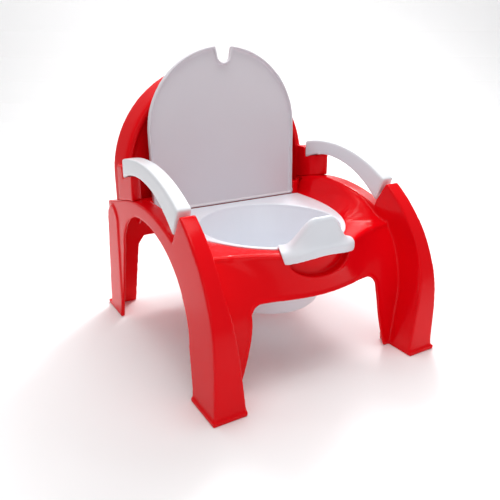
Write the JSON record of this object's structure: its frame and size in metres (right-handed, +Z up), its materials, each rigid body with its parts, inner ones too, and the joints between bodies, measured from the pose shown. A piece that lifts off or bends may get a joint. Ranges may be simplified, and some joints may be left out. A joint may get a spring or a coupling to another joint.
{
  "type": "potty training chair",
  "caption": "Child's potty chair: arch-legged armchair frame with backrest and arm grips, a hinged lid that swings forward over the seat, and a lift-out pot with a raised splash guard.",
  "frame": {"origin": "on the floor, under the middle of the chair's box", "axes": "+Z up; the front of the chair, with the splash guard, faces -Y; +X is to the right of someone looking at the chair from the front; the chair is symmetric across X = 0"},
  "size_m": [0.3, 0.33, 0.346],
  "materials": {
    "frame_red": "gloss",
    "back_red": "gloss",
    "grip_white": "gloss",
    "lid_white": "satin",
    "pot_white": "gloss"
  },
  "bodies": {
    "chair": {"seat_deck": "frame_red", "front_apron": "frame_red", "rear_apron": "frame_red", "left_front_leg": "frame_red", "right_front_leg": "frame_red", "left_rear_leg": "frame_red", "right_rear_leg": "frame_red", "left_arm_rail": "frame_red", "right_arm_rail": "frame_red", "left_wing": "back_red", "right_wing": "back_red", "backrest_panel": "back_red", "backrest_hoop": "back_red", "hinge_lugs": "back_red", "left_grip": "grip_white", "right_grip": "grip_white"},
    "lid": {"lid_panel": "lid_white"},
    "pot": {"pot_bowl": "pot_white", "pot_flange": "pot_white", "splash_guard": "pot_white"}
  },
  "joints": [
    {"name": "lid_hinge", "type": "hinge", "parent": "chair", "child": "lid", "pos_m": [0, 0.082, 0.151], "axis": [1, 0, 0], "range_deg": [0, 89]},
    {"name": "pot_lift", "type": "slide", "parent": "chair", "child": "pot", "axis": [0, 0, 1], "range_m": [0, 0.3]}
  ]
}
